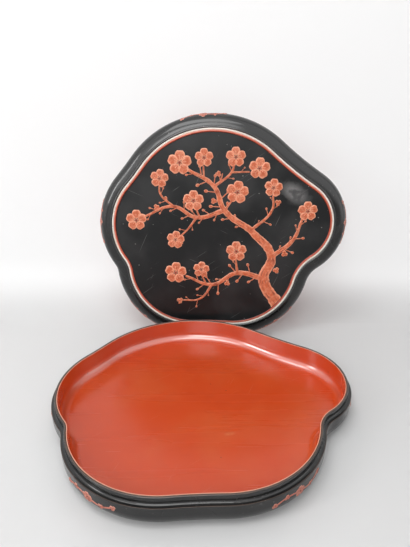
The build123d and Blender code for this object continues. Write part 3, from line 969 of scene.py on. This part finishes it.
# Plum branch: trunk, boughs and twigs built up in red lacquer on the panel, low and rounded,
# with cut bark. Stations give the place across and up the panel and the width, in millimetres.
PANEL_TOP = 21.2 * MM
RAISED_RED = (0.62, 0.13, 0.046, 1)
RAISED_PALE = (0.86, 0.4, 0.25, 1)
LIMB_RELIEF = 0.75 * MM
LIMB_RAGGED = 0.22
SHOOT_REACH = 6.5 * MM
STALK_SEED = 20
LIMBS = {
    "plum_trunk": ((86, -99, 19), (63, -63, 15.5), (71, -31, 13), (40, 4, 10)),
    "plum_bough_upper": ((40, 4, 9.5), (2, 29, 8), (-14, 60, 6.4), (-50, 80, 4)),
    "plum_bough_left": ((2, 29, 7), (-35, 17, 5.6), (-68, 30, 4.4), (-106, 14, 3)),
    "plum_bough_lower": ((63, -63, 8.5), (26, -57, 6.6), (-8, -76, 5), (-46, -66, 3.2)),
    "plum_bough_right": ((71, -31, 7.5), (98, -6, 5.6), (108, 24, 3.2)),
    "plum_twig_top": ((-14, 60, 4.4), (8, 80, 3.2), (11, 90, 2.6)),
    "plum_twig_crown": ((8, 80, 2.8), (32, 82, 2.2)),
    "plum_twig_up": ((-28, 68, 3), (-30, 86, 2.2)),
    "plum_twig_heart": ((2, 29, 3.6), (12, 44, 2.6)),
    "plum_twig_middle": ((40, 4, 4.6), (66, 33, 3.4), (66, 54, 2.4)),
    "plum_twig_left": ((-68, 30, 3.4), (-86, 46, 2.6), (-88, 56, 2.2)),
    "plum_twig_down": ((-35, 17, 3.4), (-48, -2, 2.6), (-56, -10, 2.2)),
    "plum_twig_centre": ((26, -57, 3.8), (22, -36, 2.6)),
    "plum_twig_low": ((-8, -76, 3.6), (-24, -98, 2.8), (-48, -102, 2.2)),
}
STALKS = (
    ((-31, 18, 2.6), (-35, 26, 2.2), (-37, 36, 1.9)),
    ((-17, -75, 2.6), (-21, -68, 2.2), (-26, -58, 1.9)),
    ((-8, 65, 2.2), (-5, 71, 1.8), (-4, 78, 1.6)),
)
panel_stand = lid_stand @ Matrix.Translation((0, 0, PANEL_TOP))
raised_red = raised_lacquer("raised_lacquer", RAISED_RED, RAISED_PALE)

# Shoots: thin stalks ending in a bud, set along a limb to one side and the other in turn
shoot_tree, given = grower(
    "plum_shoots",
    Path="Object",
    Spacing=9.5 * MM,
    Reach=9 * MM,
    Relief=0.6 * MM,
    Seed=1,
    Finish="Material",
)
t = shoot_tree
sockets = {"Curve": curve_of(t, given["Path"]), "Length": given["Spacing"]}
stops = put(t, "GeometryNodeCurveToPoints", sockets, mode="LENGTH").outputs
forms = []
for middle, length, width, height in ((0.84, 0.16, 0.12, 1.3), (0.38, 0.36, 0.045, 0.8)):
    shares = {"Middle": middle, "Length": length, "Width": width}
    sockets = {label: times(t, given["Reach"], share) for label, share in shares.items()}
    sockets["Relief"] = times(t, given["Relief"], height)
    sockets["Nick"] = 0.0
    forms.append(made(t, "GeometryNodeGroup", sockets, node_tree=petal_tree))
index = made(t, "GeometryNodeInputIndex")
side = minus(t, times(t, calc(t, "MODULO", index, 2.0), 2.0), 1.0)
way = parts_of(t, stops["Tangent"])
splay = times(t, side, chance_of(t, 0.5, 1.1, given["Seed"]))
angle = plus(t, calc(t, "ARCTAN2", way["Y"], way["X"]), splay)
sockets = {
    "Points": stops["Points"],
    "Selection": calc(t, "GREATER_THAN", index, 0.5),
    "Instance": together(t, *forms),
    "Rotation": spin(t, angle),
    "Scale": flat_size(t, 0.75, 1.2, given["Seed"]),
}
finish_tree(t, made(t, "GeometryNodeInstanceOnPoints", sockets), given["Finish"])


def stood(mesh):
    """A flat mesh set on the standing panel."""
    mesh.transform(panel_stand)
    return mesh


def panel_limb(tree, stations, **sizes):
    """What a tree grows along stations in millimetres, set on the standing panel."""
    stations = [(x * MM, y * MM, width * MM) for x, y, width in stations]
    return stood(along(tree, stations, raised_red, Relief=LIMB_RELIEF, **sizes))


meshes = []
for seed, stations in enumerate(LIMBS.values()):
    meshes.append(panel_limb(limb_tree, stations, Ragged=LIMB_RAGGED, Seed=seed))
    if seed > 0:
        reach = SHOOT_REACH + stations[0][2] * MM
        meshes.append(panel_limb(shoot_tree, stations, Reach=reach, Seed=seed))
for seed, stations in enumerate(STALKS, STALK_SEED):
    meshes.append(panel_limb(limb_tree, stations, Ragged=LIMB_RAGGED, Seed=seed))
gathered("plum_branch_lacquer", meshes, raised_red, "lid", LIMBS)

# Blossoms: five round petals with cut veins around a dark heart, and a spray of stamens.
# Each was laid on the panel over the end of its twig, higher than the branch.
BLOSSOM_RELIEF = 1.1 * MM
HEART_SHARE = 0.25
LEVEL = 0.01 * MM


def flower(node, share, **sizes):
    """A flower in the place of its CAD node, whose top is a share of the flower's width."""
    back = panel_stand.inverted()
    flat = np.array([back @ vertex.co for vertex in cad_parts[node].data.vertices])
    top = flat[flat[:, 2] > flat[:, 2].max() - LEVEL]
    low, high = top.min(0), top.max(0)
    radius = (high[0] - low[0]) / 2 / share
    sizes.update({"Radius": radius, "Relief": BLOSSOM_RELIEF, "Finish": raised_red})
    x, y, _ = (low + high) / 2
    return stood(shifted(grow(blossom_tree, **sizes), x, y))


blossoms = [f"plum_blossom_{number:02d}" for number in range(1, 15)]
meshes = []
for seed, node in enumerate(blossoms):
    turn = math.pi / 2 + 0.1 * math.sin(seed * 2.4)
    meshes.append(flower(node, HEART_SHARE, Turn=turn, Seed=seed))
gathered("plum_blossom_lacquer", meshes, raised_red, "lid", blossoms)

# Buds: three petals still folded, in the same red lacquer as the blossoms.
# They were laid on the panel on short stalks and along the twigs.
BUD = {"Petals": 3, "Petal_share": 0.56, "Stamens": 0}
buds = [f"plum_bud_{number:02d}" for number in range(1, 9)]
meshes = [flower(node, 1, Turn=seed * 1.3, Seed=seed, **BUD) for seed, node in enumerate(buds)]
gathered("plum_bud_lacquer", meshes, raised_red, "lid", buds)

# Lid sprigs: the same sprigs as on the tray, in the same dulled red lacquer with its painted shade,
# one on each lobe.
# They are bent over the lid's rounded shoulder.
LID_SPRIG_HEIGHT = 11.5 * MM
LID_SKIRT = 6 * MM
LID_ROLL = 16 * MM
LID_SPRIG_SEED = 40
lay_sprigs("lid", LID_SPRIG_SEED, lid_stand, LID_SPRIG_HEIGHT, LID_SKIRT, LID_ROLL, False)

# Stage: a pale floor, and white paper that sweeps up close behind the box and is seen from its
# front side only. Soft lamps stand at the left and in front, and one hangs above. Mirrored rays
# see a dim room with a bright ceiling and a window at the left. The camera is the photograph's.
FLOOR_HALF = 8.0
SWEEP_START = 0.2
SWEEP_RADIUS = 0.08
SWEEP_TOP = 2.5
FLOOR_PALE = (0.7, 0.7, 0.7, 1)
PAPER_WHITE = (0.95, 0.95, 0.95, 1)
PAPER_GRAIN = (0.6, 0.6, 0.6, 1)
WHITE = (1, 1, 1, 1)
PAPER_GLOW = 0.45
ROOM_LIGHT = 0.35
ROOM_FRONT = 0.25
ROOM_SIDES = 1.6
ROOM_CEILING = 1.7
LAMP_AIM = Vector((0, 0.05, 0.05))
CAMERA_PLACE = (0.0016, -0.4477, 0.3775)
CAMERA_DOWN = 24.4
FOCAL_PIXELS = 487.2
PHOTO_HEIGHT = 547
SENSOR = 36


def stage_paper():
    """Pale paper, whiter on the sweep, that glows to white far away and is clear from behind."""
    material, t, place = finish_of("studio_paper", Roughness=0.9, Specular_IOR_Level=0.1)
    shader = shader_of(material)
    swept = fade(t, parts_of(t, place)["Z"], 0.0, SWEEP_RADIUS * 0.7)
    grain = fade(t, cloud(t, place, 900.0, 2.0), 0.3, 0.7, 0.0, 0.02)
    colour = tint(t, grain, tint(t, swept, FLOOR_PALE, PAPER_WHITE), PAPER_GRAIN)
    t.links.new(colour, shader.inputs["Base Color"])
    ray = put(t, "ShaderNodeLightPath").outputs
    seen = calc(t, "MAXIMUM", ray["Is Camera Ray"], ray["Is Glossy Ray"])
    seen = calc(t, "MAXIMUM", seen, ray["Is Transmission Ray"])
    far = fade(t, length_of(t, place), 0.5, 2.0)
    glow = times(t, seen, calc(t, "MAXIMUM", times(t, swept, PAPER_GLOW), far))
    white = made(t, "ShaderNodeEmission", {"Color": WHITE, "Strength": 1.0})
    lit = made(t, "ShaderNodeMixShader", {0: glow, 1: shader.outputs[0], 2: white})
    behind = put(t, "ShaderNodeNewGeometry").outputs["Backfacing"]
    clear = made(t, "ShaderNodeBsdfTransparent")
    one_sided = made(t, "ShaderNodeMixShader", {0: behind, 1: lit, 2: clear})
    t.links.new(one_sided, t.nodes["Material Output"].inputs["Surface"])
    return material


paper = stage_paper()
flat = [(-FLOOR_HALF, 0), (FLOOR_HALF, 0)]
bends = [math.radians(6 * step) for step in range(16)]
sweep = [(SWEEP_START + SWEEP_RADIUS * math.sin(a), SWEEP_RADIUS * (1 - math.cos(a))) for a in bends]
sweep.append((SWEEP_START + SWEEP_RADIUS, SWEEP_TOP))
for name, line in (("studio_floor", flat), ("studio_sweep", sweep)):
    mesh = bpy.data.meshes.new(name)
    mesh.from_pydata(
        [(x, y, z) for y, z in line for x in (-FLOOR_HALF, FLOOR_HALF)],
        [],
        [(2 * i, 2 * i + 1, 2 * i + 3, 2 * i + 2) for i in range(len(line) - 1)],
    )
    mesh.shade_smooth()
    mesh.materials.append(paper)
    placed(name, mesh)

world = bpy.data.worlds.new("studio_room")
scene.world = world
world.use_nodes = True
t = world.node_tree
sky = t.nodes["Background"].inputs
ray = put(t, "ShaderNodeLightPath").outputs
way = parts_of(t, put(t, "ShaderNodeTexCoord").outputs["Generated"])
ceiling = fade(t, way["Z"], 0.12, 0.4, ROOM_FRONT, ROOM_CEILING)
room = mixed(t, fade(t, way["Y"], -0.3, -0.7), ROOM_SIDES, ceiling)
window = times(t, fade(t, way["X"], -0.25, -0.45), fade(t, way["Y"], -0.5, -0.8))
mirrored = mixed(t, ray["Is Glossy Ray"], ROOM_LIGHT, plus(t, room, window))
seen = calc(t, "MAXIMUM", ray["Is Camera Ray"], ray["Is Transmission Ray"])
sky["Color"].default_value = WHITE
t.links.new(mixed(t, seen, mirrored, 1.0), sky["Strength"])

for name, place, wide, high, energy in (
    ("side_softbox", (-1.6, -0.7, 0.9), 0.35, 0.75, 7),
    ("top_softbox", (-0.2, -0.3, 1.2), 0.9, 0.5, 5.8),
    ("front_softbox", (-0.3, -1.5, 1.1), 0.8, 0.75, 9.5),
):
    lamp = bpy.data.lights.new(name, "AREA")
    lamp.shape = "RECTANGLE"
    lamp.size = wide
    lamp.size_y = high
    lamp.energy = energy
    light = placed(name, lamp)
    light.location = place
    light.rotation_euler = (LAMP_AIM - light.location).to_track_quat("-Z", "Y").to_euler()

eye = bpy.data.cameras.new("photograph_view")
eye.sensor_width = SENSOR
eye.lens = FOCAL_PIXELS * SENSOR / PHOTO_HEIGHT
camera = placed("photograph_view", eye)
camera.location = CAMERA_PLACE
camera.rotation_euler = (math.radians(90 - CAMERA_DOWN), 0, 0)
scene.camera = camera
scene.view_settings.view_transform = "Standard"
